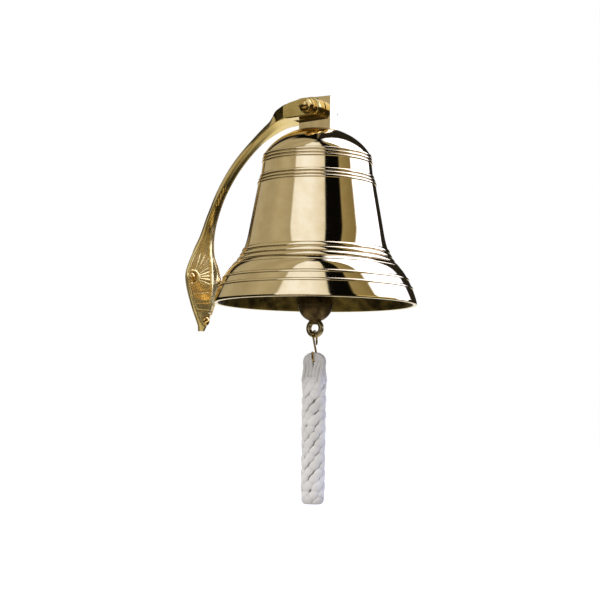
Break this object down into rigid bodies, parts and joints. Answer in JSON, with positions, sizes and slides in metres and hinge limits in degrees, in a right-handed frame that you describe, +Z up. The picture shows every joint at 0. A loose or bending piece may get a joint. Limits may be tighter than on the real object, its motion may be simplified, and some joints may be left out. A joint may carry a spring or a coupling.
{
  "type": "wall-mounted ship bell",
  "caption": "Wall-mounted brass ship bell: cast bracket with fork, swinging bell, clapper, S hook and short braided bell rope.",
  "frame": {"origin": "centre of the circle of the three wall screws, on the bracket's back face, which lies on the wall", "axes": "+X out from the wall, +Z up, +Y along the wall; the bell's axis is vertical at X = 0.135 m, Y = 0"},
  "size_m": [0.247, 0.2, 0.401],
  "materials": {
    "polished_brass": "turned and polished",
    "cast_brass": "cast, polished on its faces",
    "brass_fixings": "turned",
    "cast_bronze": "as cast, dull",
    "brass_wire": "drawn wire",
    "cotton_rope": "braided cotton"
  },
  "bodies": {
    "bracket": {"bracket": "cast_brass", "wall_screw_left": "brass_fixings", "wall_screw_right": "brass_fixings", "wall_screw_lower": "brass_fixings", "pivot_bolt": "brass_fixings", "pivot_washer_near": "brass_fixings", "pivot_washer_far": "brass_fixings", "pivot_nut": "brass_fixings"},
    "bell": {"bell_shell": "polished_brass", "hanger_block": "polished_brass", "clapper_staple": "brass_fixings", "crown_washer": "brass_fixings", "crown_nut": "brass_fixings", "clapper_pin": "brass_fixings", "clapper_split_pin": "brass_fixings"},
    "clapper": {"clapper": "cast_bronze"},
    "hook": {"s_hook": "brass_wire"},
    "rope": {"rope_eye": "cotton_rope", "bell_rope": "cotton_rope"}
  },
  "joints": [
    {"name": "bell_swing", "type": "hinge", "parent": "bracket", "child": "bell", "pos_m": [0.135, 0, 0.179], "axis": [0, -1, 0], "range_deg": [-4, 40]},
    {"name": "clapper_swing", "type": "hinge", "parent": "bell", "child": "clapper", "pos_m": [0.135, 0, 0.125], "axis": [0, -1, 0], "range_deg": [-25, 28]},
    {"name": "hook_swing", "type": "hinge", "parent": "clapper", "child": "hook", "pos_m": [0.135, 0, -0.0451], "axis": [1, 0, 0], "range_deg": [-40, 40]},
    {"name": "rope_swing", "type": "hinge", "parent": "hook", "child": "rope", "pos_m": [0.135, 0, -0.071], "axis": [0, -1, 0], "range_deg": [-15, 35]}
  ]
}
